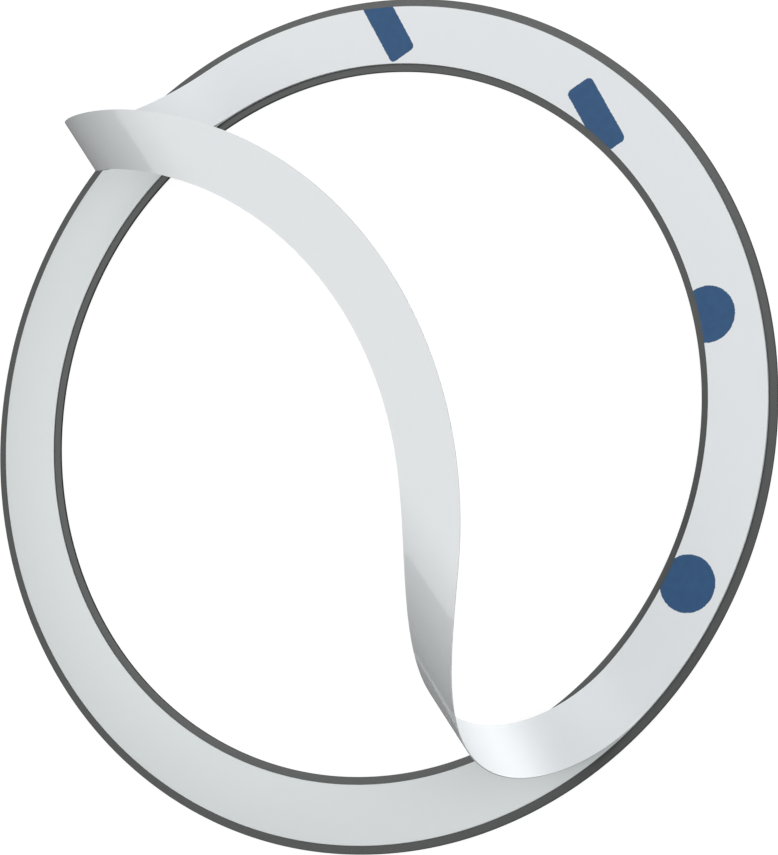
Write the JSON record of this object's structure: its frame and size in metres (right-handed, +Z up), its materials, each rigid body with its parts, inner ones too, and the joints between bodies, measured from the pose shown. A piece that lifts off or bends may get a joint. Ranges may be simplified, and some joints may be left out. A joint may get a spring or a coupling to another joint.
{
  "type": "magnetic phone mount plate",
  "caption": "Thin steel ring plate for a magnetic phone mount, with an adhesive tape ring and a paper release liner peeled halfway and rolled back over it.",
  "frame": {"origin": "on the ring's axis, at the underside of the steel that the plate lies on", "axes": "+Z up through the stack from steel to liner; +X along the roll of the peeled liner; +Y towards the half whose adhesive is bare"},
  "size_m": [0.056, 0.056, 0.0178],
  "materials": {
    "steel": "thin dark grey coating on punched sheet steel, satin",
    "adhesive": "pale grey double-sided tape, smooth and slightly tacky",
    "liner": "coated white liner paper with sparse blue marks on the outer side, plain underside"
  },
  "bodies": {
    "root": {"steel_ring": "steel", "adhesive_tape": "adhesive", "release_liner": "liner"}
  },
  "joints": []
}
